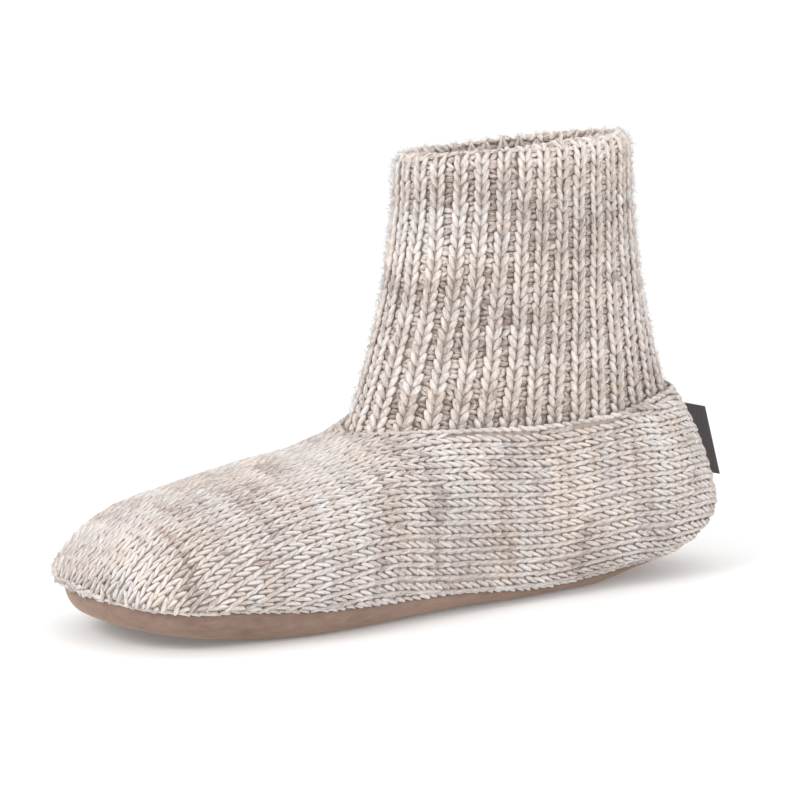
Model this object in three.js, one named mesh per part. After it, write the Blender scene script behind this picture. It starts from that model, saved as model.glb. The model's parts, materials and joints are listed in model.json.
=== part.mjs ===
// Slipper sock for the left foot: knitted foot, ribbed shaft, suede sole, padded insole and back label.
// Millimetres, +Z up. The toe points along -Y, and +X is the outer side of the foot.
import * as THREE from 'three';

// Round ends of the foot: where each one turns about, along Y, and how far it reaches from there
const TOE = { axis: -100, reach: 41, power: 2.1 };
const HEEL = { axis: 96, reach: 45.2, power: 2 };
const FAN_STEPS = 8;
const BESIDE_STEPS = 13;
const VAMP_STEPS = 8;

// Sections across the foot: half widths, height of the widest place, and the sole's edge.
// tuck is how far the edge lies inside the widest place, and turn how far the sole curls up to it.
// fullness is 0.5 for a round instep, less for a squarer one and more for a leaner one.
const SECTIONS = [
  { at: -100, outer: 46.5, inner: 46.5, widest: 20.5, tuck: 4.5, edge: 15.5, turn: 11.5, fullness: 0.5 },
  { at: -62, outer: 50, inner: 47, widest: 25, tuck: 6, edge: 12.2, turn: 11.5, fullness: 0.48 },
  { at: -20, outer: 42.5, inner: 38, widest: 27.2, tuck: 3.2, edge: 10, turn: 11, fullness: 0.36 },
  { at: 0, outer: 39.4, inner: 35.8, widest: 27.6, tuck: 2.6, edge: 9, turn: 11, fullness: 0.4 },
  { at: 45, outer: 37, inner: 36.6, widest: 28.5, tuck: 6.5, edge: 5.6, turn: 10, fullness: 0.5 },
  { at: 96, outer: 36.5, inner: 36.5, widest: 26.5, tuck: 12, edge: 9, turn: 9, fullness: 0.5 },
];
const TOE_TIP = { widest: 23, tuck: 2.6, edge: 20, turn: 6.5, fullness: 0.85 };
const HEEL_BACK = { widest: 28, tuck: 10.5, edge: 19, turn: 8.5, fullness: 0.82 };

// Height of the vamp's ridge, and behind it of the collar's edge
const TOP_LINE = [
  { at: -100, height: 50.2 },
  { at: -62, height: 58 },
  { at: -38, height: 62 },
  { at: -24, height: 66.4 },
  { at: -12, height: 68 },
  { at: 12, height: 68.4 },
  { at: 49, height: 67.8 },
  { at: 76, height: 69.1 },
  { at: 98, height: 72.6 },
  { at: 130, height: 74.6 },
];
const COLLAR = { middle: 47.5, halfLength: 72, halfWidth: 34.5, frontPower: 2.05, backPower: 2.45 };
const TOE_DRIFT = { from: -50, inward: 2.6, over: 90, power: 1.6 };

// Underside: toe spring, raised heel end and shallow arch between the two flat places
const SPRING = { from: -60, over: 80, rise: 11, power: 2 };
const HEEL_RISE = { from: 72, over: 62, rise: 17.4, power: 1.5 };
const ARCH = { from: -38, to: 42, rise: 0.9 };

// Walls and the gap between pieces
const GAP = 0.3;
const SAME_PLACE = 1e-3;
const FOOT_WALL = 3;
const COLLAR_WALL = 2;
const COLLAR_DROP = 1.6;
const COLLAR_ROUND = 0.7;
const SOLE_WALL = 2.6;
const INSOLE_THICK = 5;
const INSOLE_ROUND = 1.5;
const INSOLE_SIDE = 0.3;

// Ribbed shaft, from its sewn edge inside the foot to the fold at the top
const SHAFT_WALL = 5.5;
const SHAFT_TUCKED = 8;
const SHAFT_CLEAR = 0.45;
const RIM = { middle: 49, halfLength: 47.8, halfWidth: 33.8, height: 172.3, backRise: 2.3, outerRise: 2.5 };
// The fold at the rim is an oval: how far in and down it reaches outside and inside its crest
const FOLD = { outsideWidth: 3.5, outsideHeight: 6, insideWidth: 2, insideHeight: 2.5 };
const FOLD_TURNS = 4;
const NARROWING = 2;
const RIBS = 32;
const SHAFT_LEVELS = [0, 0.14, 0.3, 0.5, 0.72];
const INSIDE_LEVELS = [0.86, 0.56, 0.28, 0];
const RIB_PROFILE = [0, 0.35, 1, 0.35];
const RIB_DEPTH = 1.5;
const OVAL_SAMPLES = 720;

// Label: a ribbon folded back on itself, standing out from the back seam
// It leans with the heel, so its inner edge is higher than its fold by slope
const LABEL = { bottom: 32.8, top: 61.3, bottomReach: 152, topReach: 144, slope: 0.24, steps: 6 };
const RIBBON = 0.7;
const RIBBON_SPACE = 0.7;
const LABEL_GAP = 0.4;
const FOLD_STEPS = 5;

const FINISHES = {
  upper: { colour: [0.8, 0.755, 0.725], roughness: 0.95 },
  shaft: { colour: [0.79, 0.745, 0.715], roughness: 0.95 },
  outsole: { colour: [0.56, 0.47, 0.42], roughness: 0.9 },
  insole: { colour: [0.83, 0.8, 0.76], roughness: 0.9 },
  label: { colour: [0.2, 0.17, 0.175], roughness: 0.7 },
};

// Smooth curve through one column of a table of rows
function along(rows, name, at) {
  const slopes = rows.slice(1).map((row, i) => (row[name] - rows[i][name]) / (row.at - rows[i].at));
  const tangent = (i) => {
    if (i === 0 || i === rows.length - 1) return slopes[Math.max(i - 1, 0)];
    const before = rows[i].at - rows[i - 1].at;
    const after = rows[i + 1].at - rows[i].at;
    return (slopes[i - 1] * after + slopes[i] * before) / (before + after);
  };
  const last = rows.length - 2;
  const found = rows.findIndex((row) => row.at > at) - 1;
  const i = found < -1 ? last : Math.min(Math.max(found, 0), last);
  const span = rows[i + 1].at - rows[i].at;
  const t = THREE.MathUtils.clamp((at - rows[i].at) / span, 0, 1);
  const back = 1 - t;
  return (1 + 2 * t) * back * back * rows[i][name]
    + t * back * back * span * tangent(i)
    + t * t * (3 - 2 * t) * rows[i + 1][name]
    + t * t * (t - 1) * span * tangent(i + 1);
}

// Height of the sole's underside at a place along the foot
function underside(y) {
  const spring = SPRING.rise * (Math.max(SPRING.from - y, 0) / SPRING.over) ** SPRING.power;
  const heel = HEEL_RISE.rise * (Math.max(y - HEEL_RISE.from, 0) / HEEL_RISE.over) ** HEEL_RISE.power;
  const inArch = THREE.MathUtils.clamp((y - ARCH.from) / (ARCH.to - ARCH.from), 0, 1);
  return spring + heel + ARCH.rise * Math.sin(Math.PI * inArch) ** 2;
}

// Sideways lean of the foot's middle line, towards the big toe
function middleX(y) {
  return -TOE_DRIFT.inward * (Math.max(TOE_DRIFT.from - y, 0) / TOE_DRIFT.over) ** TOE_DRIFT.power;
}

// Columns from the back seam along one side to the toe tip, each one a direction in plan
function stations(collarFront) {
  const list = [];
  for (let i = 0; i < FAN_STEPS; i += 1) {
    list.push({ y: HEEL.axis, end: HEEL, angle: (Math.PI / 2) * (1 - i / FAN_STEPS), back: 1 });
  }
  for (let i = 0; i <= BESIDE_STEPS; i += 1) {
    const eased = Math.sin((Math.PI / 2) * (i / BESIDE_STEPS));
    list.push({ y: HEEL.axis + (collarFront - HEEL.axis) * eased, end: null, angle: 0, back: 1 });
  }
  for (let i = 1; i <= VAMP_STEPS; i += 1) {
    list.push({ y: collarFront + (TOE.axis - collarFront) * (i / VAMP_STEPS), end: null, angle: 0, back: 1 });
  }
  for (let i = 1; i <= FAN_STEPS; i += 1) {
    list.push({ y: TOE.axis, end: TOE, angle: (Math.PI / 2) * (i / FAN_STEPS), back: -1 });
  }
  return list;
}

// Sizes of one column: its section blended towards the toe tip or the heel's back
function columnSizes(station, side) {
  const width = side > 0 ? 'outer' : 'inner';
  const tip = station.end === TOE ? TOE_TIP : HEEL_BACK;
  const share = Math.sin(station.angle) ** 2;
  const blend = (name) => THREE.MathUtils.lerp(along(SECTIONS, name, station.y), tip[name], share);
  const half = along(SECTIONS, width, station.y);
  let reach = half;
  if (station.end) {
    const { power } = station.end;
    const across = Math.abs(Math.cos(station.angle) / half) ** power;
    const lengthwise = Math.abs(Math.sin(station.angle) / station.end.reach) ** power;
    reach = (across + lengthwise) ** (-1 / power);
  }
  return {
    reach,
    widest: blend('widest'),
    tuck: blend('tuck'),
    edge: blend('edge'),
    turn: blend('turn'),
    fullness: blend('fullness'),
  };
}

// Distance from a column's axis to the collar's oval, or 0 in front of it
const COLLAR_FINE = 1e-4;
function collarReach(station, inset) {
  const halfLength = COLLAR.halfLength - inset;
  const halfWidth = COLLAR.halfWidth - inset;
  const inside = (r) => {
    const x = r * Math.cos(station.angle);
    const y = station.y + r * Math.sin(station.angle) * station.back - COLLAR.middle;
    const power = y < 0 ? COLLAR.frontPower : COLLAR.backPower;
    return Math.abs(x / halfWidth) ** power + Math.abs(y / halfLength) ** power < 1;
  };
  if (station.end === TOE || !inside(0)) return 0;
  let near = 0;
  let far = COLLAR.halfLength;
  while (far - near > COLLAR_FINE) {
    const middle = (near + far) / 2;
    if (inside(middle)) near = middle;
    else far = middle;
  }
  return near;
}

// Place of a point that lies r from a column's axis, at height z
function place(station, side, r, z) {
  const x = middleX(station.y) + side * r * Math.cos(station.angle);
  return new THREE.Vector3(x, station.y + station.back * r * Math.sin(station.angle), z);
}

// One column of the foot's outer skin, or of its inner skin when wall is above 0
const BULGE_STEPS = 4;
const ARCH_STEPS = 9;
function footColumn(station, side, wall, collarWall) {
  const size = columnSizes(station, side);
  const opening = collarReach(station, collarWall);
  const topY = station.y + station.back * opening * Math.sin(station.angle);
  const drop = opening > 0 ? Math.min(wall, COLLAR_DROP) : wall;
  const top = along(TOP_LINE, 'height', topY) - drop;
  const widestReach = size.reach - wall;
  const lip = wall > 0 ? SOLE_WALL : 0;
  const startReach = size.reach - size.tuck - lip;
  const startHeight = Math.min(size.edge + wall, size.widest - 1);
  const points = [];
  for (let i = 0; i < BULGE_STEPS; i += 1) {
    const turn = (Math.PI / 2) * (i / BULGE_STEPS);
    const r = startReach + (widestReach - startReach) * Math.sin(turn);
    points.push(place(station, side, r, size.widest - (size.widest - startHeight) * Math.cos(turn)));
  }
  const slope = (TOP_LINE[1].height - TOP_LINE[0].height) / (TOP_LINE[1].at - TOP_LINE[0].at);
  const share = opening / widestReach;
  const rise = (top - size.widest) / (1 - share * share) ** size.fullness;
  for (let i = 0; i <= ARCH_STEPS; i += 1) {
    const turn = Math.acos(share) * (i / ARCH_STEPS);
    const r = widestReach * Math.cos(turn);
    let z = size.widest + rise * Math.sin(turn) ** (2 * size.fullness);
    if (station.end === TOE) z -= slope * Math.sin(station.angle) * r * Math.sin(turn) ** 2;
    points.push(place(station, side, i === ARCH_STEPS ? opening : r, z));
  }
  return points;
}

// Columns all round the foot, from the back seam by the outer side, the toe and the inner side
function aroundFoot(collarFront, makeColumn) {
  const list = stations(collarFront);
  const outer = list.map((station) => makeColumn(station, 1));
  const inner = list.map((station) => makeColumn(station, -1));
  return [...outer, ...inner.slice(1, -1).reverse()];
}

// Rings of points, one for each row of the columns
function rowsOf(columns) {
  return columns[0].map((_, row) => columns.map((column) => column[row]));
}

// Closed body whose rings follow each other; wrapped also joins the last ring to the first.
// A quad whose corners all lie on the middle line is left out, because the other side has it too.
function bodyFromRings(rings, wrapped) {
  const positions = [];
  const same = (a, b) => a.distanceTo(b) < SAME_PLACE;
  const onMiddle = (ring, i) => same(ring[i], ring[(ring.length - i) % ring.length]);
  const addTriangle = (a, b, c) => {
    if (same(a, b) || same(b, c) || same(c, a)) return;
    positions.push(...a.toArray(), ...b.toArray(), ...c.toArray());
  };
  const pairs = wrapped ? rings.length : rings.length - 1;
  for (let i = 0; i < pairs; i += 1) {
    const low = rings[i];
    const high = rings[(i + 1) % rings.length];
    for (let j = 0; j < low.length; j += 1) {
      const k = (j + 1) % low.length;
      if ([low, high].every((ring) => onMiddle(ring, j) && onMiddle(ring, k))) continue;
      addTriangle(low[j], high[j], high[k]);
      addTriangle(low[j], high[k], low[k]);
    }
  }
  const geometry = new THREE.BufferGeometry();
  geometry.setAttribute('position', new THREE.Float32BufferAttribute(positions, 3));
  geometry.computeVertexNormals();
  return geometry;
}

// Quarter curl of the sole from its flat underside up to its edge, offset inwards by wall
function soleCurl(station, side, wall, share) {
  const size = columnSizes(station, side);
  const flat = size.reach - size.tuck - size.turn;
  const flatY = station.y + station.back * flat * Math.sin(station.angle);
  const depth = size.edge - GAP - underside(flatY);
  const turn = (Math.PI / 2) * share;
  const r = flat + (size.turn - wall) * Math.sin(turn);
  return place(station, side, r, size.edge - GAP - (depth - wall) * Math.cos(turn));
}

// Point on the flat part of the sole, at a share of the way out from the middle line
function soleFlat(station, side, wall, share) {
  const size = columnSizes(station, side);
  const point = place(station, side, share * (size.reach - size.tuck - size.turn), 0);
  point.z = underside(point.y) + wall;
  return point;
}

function upper() {
  const front = COLLAR.middle - COLLAR.halfLength;
  const outer = rowsOf(aroundFoot(front, (station, side) => footColumn(station, side, 0, 0)));
  const innerFront = front + COLLAR_WALL;
  const makeInner = (station, side) => footColumn(station, side, FOOT_WALL, COLLAR_WALL);
  const inner = rowsOf(aroundFoot(innerFront, makeInner));
  const lipInside = rowsOf(aroundFoot(front, (station, side) => {
    const size = columnSizes(station, side);
    return [place(station, side, size.reach - size.tuck - SOLE_WALL, size.edge)];
  }))[0];
  const collarEdge = outer[outer.length - 1];
  const insideEdge = inner[inner.length - 1];
  const rounded = collarEdge.map((point, i) => {
    const opposite = collarEdge[(collarEdge.length - i) % collarEdge.length];
    if (point.distanceTo(opposite) < SAME_PLACE && i > 0) return point;
    const middle = point.clone().lerp(insideEdge[i], 0.5);
    middle.z += COLLAR_ROUND;
    return middle;
  });
  return bodyFromRings([...outer, rounded, ...inner.reverse(), lipInside], true);
}

function outsole() {
  const front = COLLAR.middle - COLLAR.halfLength;
  const shares = [0, 0.25, 0.5, 0.75, 1];
  const rings = rowsOf(aroundFoot(front, (station, side) => [
    soleFlat(station, side, 0, 0),
    soleFlat(station, side, 0, 0.5),
    ...shares.map((share) => soleCurl(station, side, 0, share)),
    ...[...shares].reverse().map((share) => soleCurl(station, side, SOLE_WALL, share)),
    soleFlat(station, side, SOLE_WALL, 0.5),
    soleFlat(station, side, SOLE_WALL, 0),
  ]));
  return bodyFromRings(rings, false);
}

function insole() {
  const front = COLLAR.middle - COLLAR.halfLength;
  const wall = SOLE_WALL + GAP;
  const rings = rowsOf(aroundFoot(front, (station, side) => {
    const size = columnSizes(station, side);
    const flat = soleFlat(station, side, wall, 1);
    const flatReach = size.reach - size.tuck - size.turn;
    const depth = size.edge - GAP - flat.z;
    const rimReach = (height) => {
      const below = Math.max(depth - height, 0) / depth;
      return flatReach + (size.turn - wall - GAP / 2) * Math.sqrt(1 - below * below);
    };
    const low = INSOLE_THICK * INSOLE_SIDE;
    const high = INSOLE_THICK - INSOLE_ROUND;
    return [
      soleFlat(station, side, wall, 0),
      flat,
      place(station, side, rimReach(low), flat.z + low),
      place(station, side, rimReach(high), flat.z + high),
      place(station, side, rimReach(high) - INSOLE_ROUND, flat.z + INSOLE_THICK),
      soleFlat(station, side, wall + INSOLE_THICK, 0),
    ];
  }));
  return bodyFromRings(rings, false);
}

// Points of an oval at equal steps of its length, from the back round by the outer side
function ovalRing(oval, count) {
  const fine = [];
  for (let i = 0; i <= OVAL_SAMPLES; i += 1) {
    const angle = (2 * Math.PI * i) / OVAL_SAMPLES;
    const power = Math.cos(angle) < 0 ? COLLAR.frontPower : COLLAR.backPower;
    const ease = (value) => Math.sign(value) * Math.abs(value) ** (2 / power);
    fine.push([oval.halfWidth * ease(Math.sin(angle)), oval.halfLength * ease(Math.cos(angle))]);
  }
  const reached = [0];
  for (let i = 1; i < fine.length; i += 1) {
    const step = Math.hypot(fine[i][0] - fine[i - 1][0], fine[i][1] - fine[i - 1][1]);
    reached.push(reached[i - 1] + step);
  }
  const ring = [];
  let i = 0;
  for (let j = 0; j < count; j += 1) {
    const wanted = (reached[OVAL_SAMPLES] * j) / count;
    while (reached[i + 1] < wanted) i += 1;
    const share = (wanted - reached[i]) / (reached[i + 1] - reached[i]);
    const x = THREE.MathUtils.lerp(fine[i][0], fine[i + 1][0], share);
    const y = THREE.MathUtils.lerp(fine[i][1], fine[i + 1][1], share);
    ring.push(new THREE.Vector2(x, oval.middle + y));
  }
  return ring;
}

// Ring of the shaft at a level from 0 at the collar to 1 at the rim, inset by depth, ribs relief deep
function shaftRing(level, depth, relief, lift) {
  const eased = 1 - (1 - Math.max(level, 0)) ** NARROWING;
  const inset = depth + COLLAR_WALL + SHAFT_CLEAR;
  const oval = {
    middle: THREE.MathUtils.lerp(COLLAR.middle, RIM.middle, eased),
    halfLength: THREE.MathUtils.lerp(COLLAR.halfLength - inset, RIM.halfLength - depth, eased),
    halfWidth: THREE.MathUtils.lerp(COLLAR.halfWidth - inset, RIM.halfWidth - depth, eased),
  };
  const count = RIBS * RIB_PROFILE.length;
  const crest = ovalRing(oval, count);
  return crest.map((point, i) => {
    const before = crest[(i + count - 1) % count];
    const after = crest[(i + 1) % count];
    const heading = after.clone().sub(before).normalize();
    const cut = relief * RIB_PROFILE[i % RIB_PROFILE.length];
    const placed = point.clone().add(new THREE.Vector2(heading.y, -heading.x).multiplyScalar(cut));
    const lengthwise = (point.y - oval.middle) / oval.halfLength;
    const sideways = point.x / oval.halfWidth;
    const foot = along(TOP_LINE, 'height', COLLAR.middle + lengthwise * COLLAR.halfLength);
    const rim = RIM.height + RIM.backRise * lengthwise + RIM.outerRise * sideways;
    const z = THREE.MathUtils.lerp(foot, rim, Math.max(level, 0)) + lift;
    return new THREE.Vector3(placed.x, placed.y, z);
  });
}

function shaft() {
  const rings = [
    shaftRing(0, 0, RIB_DEPTH, -SHAFT_TUCKED),
    ...SHAFT_LEVELS.map((level) => shaftRing(level, 0, RIB_DEPTH, 0)),
  ];
  for (let i = 0; i <= FOLD_TURNS; i += 1) {
    const turn = (Math.PI * i) / FOLD_TURNS;
    const outside = Math.cos(turn) > 0;
    const width = outside ? FOLD.outsideWidth : FOLD.insideWidth;
    const height = outside ? FOLD.outsideHeight : FOLD.insideHeight;
    const depth = FOLD.outsideWidth - width * Math.cos(turn);
    const relief = RIB_DEPTH * Math.max(Math.cos(turn), 0);
    rings.push(shaftRing(1, depth, relief, height * (Math.sin(turn) - 1)));
  }
  rings.push(...INSIDE_LEVELS.map((level) => shaftRing(level, SHAFT_WALL, 0, 0)));
  rings.push(shaftRing(0, SHAFT_WALL, 0, -SHAFT_TUCKED));
  return bodyFromRings(rings, true);
}

// How far back the heel reaches at a height, measured along the back seam
function heelBackAt(z) {
  const station = { y: HEEL.axis, end: HEEL, angle: Math.PI / 2, back: 1 };
  const column = footColumn(station, 1, 0, 0);
  const above = column.findIndex((point) => point.z > z);
  const low = column[above - 1];
  const high = column[above];
  return THREE.MathUtils.mapLinear(z, low.z, high.z, low.y, high.y);
}

// Where the label leaves the heel, for the part of it whose fold is at height z
const START_ROUNDS = 6;
function labelStart(z, reach) {
  let start = heelBackAt(z) + LABEL_GAP;
  for (let i = 0; i < START_ROUNDS; i += 1) {
    start = heelBackAt(z + (reach - start) * LABEL.slope) + LABEL_GAP;
  }
  return start;
}

function label() {
  const halfSpace = RIBBON_SPACE / 2;
  const fold = (radius, reach, step) => {
    const turn = Math.PI * (step / FOLD_STEPS - 0.5);
    return [radius * Math.sin(turn), reach - halfSpace - RIBBON + radius * Math.cos(turn)];
  };
  const rings = [];
  for (let i = 0; i <= LABEL.steps; i += 1) {
    const share = i / LABEL.steps;
    const z = THREE.MathUtils.lerp(LABEL.bottom, LABEL.top, share);
    const reach = THREE.MathUtils.lerp(LABEL.bottomReach, LABEL.topReach, share);
    const start = labelStart(z, reach);
    const outline = [[-halfSpace - RIBBON, start]];
    for (let step = 0; step <= FOLD_STEPS; step += 1) outline.push(fold(halfSpace + RIBBON, reach, step));
    outline.push([halfSpace + RIBBON, start], [halfSpace, start]);
    for (let step = FOLD_STEPS; step >= 0; step -= 1) outline.push(fold(halfSpace, reach, step));
    outline.push([-halfSpace, start]);
    rings.push(outline.map(([x, y]) => new THREE.Vector3(x, y, z + (reach - y) * LABEL.slope)));
  }
  return cappedBody(rings);
}

// Closed body from stacked rings, its two ends filled in
function cappedBody(rings) {
  const sides = bodyFromRings(rings, false).getAttribute('position').array;
  const positions = [...sides];
  const addCap = (ring, flip) => {
    const outline = ring.map((point) => new THREE.Vector2(point.x, point.y));
    const faces = THREE.ShapeUtils.triangulateShape(outline, []);
    for (const face of faces) {
      const order = flip ? [face[0], face[2], face[1]] : face;
      for (const i of order) positions.push(...ring[i].toArray());
    }
  };
  addCap(rings[0], true);
  addCap(rings[rings.length - 1], false);
  const geometry = new THREE.BufferGeometry();
  geometry.setAttribute('position', new THREE.Float32BufferAttribute(positions, 3));
  geometry.computeVertexNormals();
  return geometry;
}

// Named mesh with its colour and finish
function piece(name, geometry) {
  const { colour, roughness } = FINISHES[name];
  const color = new THREE.Color().setRGB(...colour, THREE.SRGBColorSpace);
  const mesh = new THREE.Mesh(geometry, new THREE.MeshStandardMaterial({ color, roughness, metalness: 0 }));
  mesh.name = name;
  return mesh;
}

const pieces = new THREE.Group();
pieces.add(piece('upper', upper()));
pieces.add(piece('shaft', shaft()));
pieces.add(piece('outsole', outsole()));
pieces.add(piece('insole', insole()));
pieces.add(piece('label', label()));

// The origin is on the floor, under the middle of the whole sock
const middle = new THREE.Box3().setFromObject(pieces).getCenter(new THREE.Vector3());
pieces.position.set(-middle.x, -middle.y, 0);

const slipperSock = new THREE.Group();
slipperSock.add(pieces);

export default slipperSock;
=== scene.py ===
"""Slipper sock for the left foot: knitted foot, ribbed shaft, suede sole, padded insole and back label.

The tables are in millimetres, as the solids' are. The objects are in metres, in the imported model's frame.
"""

import json
import math

import bmesh
import bpy
import numpy as np
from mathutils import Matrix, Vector

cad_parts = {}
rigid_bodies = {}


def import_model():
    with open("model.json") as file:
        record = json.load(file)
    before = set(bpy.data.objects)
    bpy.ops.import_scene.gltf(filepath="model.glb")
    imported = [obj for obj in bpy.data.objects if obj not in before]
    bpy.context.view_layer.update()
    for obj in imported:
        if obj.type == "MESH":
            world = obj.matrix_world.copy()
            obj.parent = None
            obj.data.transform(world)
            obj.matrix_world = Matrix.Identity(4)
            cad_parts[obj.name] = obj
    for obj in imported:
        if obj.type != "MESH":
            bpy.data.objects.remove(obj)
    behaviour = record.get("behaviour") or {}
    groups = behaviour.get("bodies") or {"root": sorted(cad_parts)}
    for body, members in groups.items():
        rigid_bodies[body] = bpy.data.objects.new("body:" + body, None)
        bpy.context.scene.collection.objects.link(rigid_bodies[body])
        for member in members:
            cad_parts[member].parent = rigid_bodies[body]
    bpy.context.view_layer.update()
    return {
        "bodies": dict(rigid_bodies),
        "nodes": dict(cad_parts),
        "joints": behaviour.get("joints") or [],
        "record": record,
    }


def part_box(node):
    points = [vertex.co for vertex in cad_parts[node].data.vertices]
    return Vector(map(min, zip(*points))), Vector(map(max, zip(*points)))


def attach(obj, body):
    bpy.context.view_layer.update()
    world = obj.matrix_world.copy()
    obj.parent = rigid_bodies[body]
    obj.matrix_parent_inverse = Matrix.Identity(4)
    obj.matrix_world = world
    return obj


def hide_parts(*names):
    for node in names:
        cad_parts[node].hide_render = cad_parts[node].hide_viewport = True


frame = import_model()
rng = np.random.default_rng(11)

MM = 0.001

# The foot's form

TOE = {"axis": -100, "reach": 41, "power": 2.1, "back": -1}
HEEL = {"axis": 96, "reach": 45.2, "power": 2, "back": 1}
SECTION_AT = [-100, -62, -20, 0, 45, 96]
SECTIONS = {
    "outer": [46.5, 50, 42.5, 39.4, 37, 36.5],
    "inner": [46.5, 47, 38, 35.8, 36.6, 36.5],
    "widest": [20.5, 25, 27.2, 27.6, 28.5, 26.5],
    "tuck": [4.5, 6, 3.2, 2.6, 6.5, 12],
    "edge": [15.5, 12.2, 10, 9, 5.6, 9],
    "turn": [11.5, 11.5, 11, 11, 10, 9],
    "fullness": [0.5, 0.48, 0.36, 0.4, 0.5, 0.5],
}
TOE_TIP = {"widest": 23, "tuck": 2.6, "edge": 20, "turn": 6.5, "fullness": 0.85}
HEEL_BACK = {"widest": 28, "tuck": 10.5, "edge": 19, "turn": 8.5, "fullness": 0.82}
TOP_AT = [-100, -62, -38, -24, -12, 12, 49, 76, 98, 130]
TOP_HEIGHT = [50.2, 58, 62, 66.4, 68, 68.4, 67.8, 69.1, 72.6, 74.6]
TOP_SLOPE = (TOP_HEIGHT[1] - TOP_HEIGHT[0]) / (TOP_AT[1] - TOP_AT[0])
COLLAR = {"middle": 47.5, "length": 72, "width": 34.5, "front": 2.05, "back": 2.45}
COLLAR_FRONT = COLLAR["middle"] - COLLAR["length"]
RIM = {"middle": 49, "length": 47.8, "width": 33.8, "height": 172.3, "back_rise": 2.3, "outer_rise": 2.5}
FOLD = {"outside": (3.5, 6), "inside": (2, 2.5)}
GAP = 0.3
SOLE_WALL = 2.6

label_low, label_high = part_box("label")
upper_low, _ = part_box("upper")
ORIGIN = np.array([
    (label_low[0] + label_high[0]) / 2 / MM,
    upper_low[1] / MM + TOE["reach"] - TOE["axis"],
    0,
])


def curve(ats, values, x):
    """Smooth curve through a table of values"""
    ats, values, x = (np.asarray(a, float) for a in (ats, values, x))
    spans = np.diff(ats)
    slopes = np.diff(values) / spans
    tangents = np.concatenate([slopes[:1], slopes[:1], slopes[1:]])
    tangents[1:-1] = (slopes[:-1] * spans[1:] + slopes[1:] * spans[:-1]) / (spans[:-1] + spans[1:])
    i = np.clip(np.searchsorted(ats, x, side="right") - 1, 0, len(spans) - 1)
    t = np.clip((x - ats[i]) / spans[i], 0, 1)
    start = (1 + 2 * t) * (1 - t) ** 2 * values[i] + t * (1 - t) ** 2 * spans[i] * tangents[i]
    return start + t * t * (3 - 2 * t) * values[i + 1] + t * t * (t - 1) * spans[i] * tangents[i + 1]


def top_height(y):
    return curve(TOP_AT, TOP_HEIGHT, y)


def underside(y):
    spring = 11 * (np.maximum(-60 - y, 0) / 80) ** 2
    heel = 17.4 * (np.maximum(y - 72, 0) / 62) ** 1.5
    arch = 0.9 * np.sin(np.pi * np.clip((y + 38) / 80, 0, 1)) ** 2
    return spring + heel + arch


def middle_x(y):
    return -2.6 * (np.maximum(-50 - y, 0) / 90) ** 1.6


def in_collar(x, y, inset):
    y = y - COLLAR["middle"]
    power = np.where(y < 0, COLLAR["front"], COLLAR["back"])
    width, length = COLLAR["width"] - inset, COLLAR["length"] - inset
    return np.abs(x / width) ** power + np.abs(y / length) ** power < 1


def unit(v):
    return v / np.maximum(np.linalg.norm(v, axis=-1, keepdims=True), 1e-9)


def distances(points):
    """How far along a row of points each one is"""
    return np.concatenate([[0], np.cumsum(np.linalg.norm(np.diff(points, axis=0), axis=1))])


def points_at(distance, along, points):
    """Points at some distances along a row of points"""
    return np.stack([np.interp(distance, along, points[:, k]) for k in range(3)], axis=-1)


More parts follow.
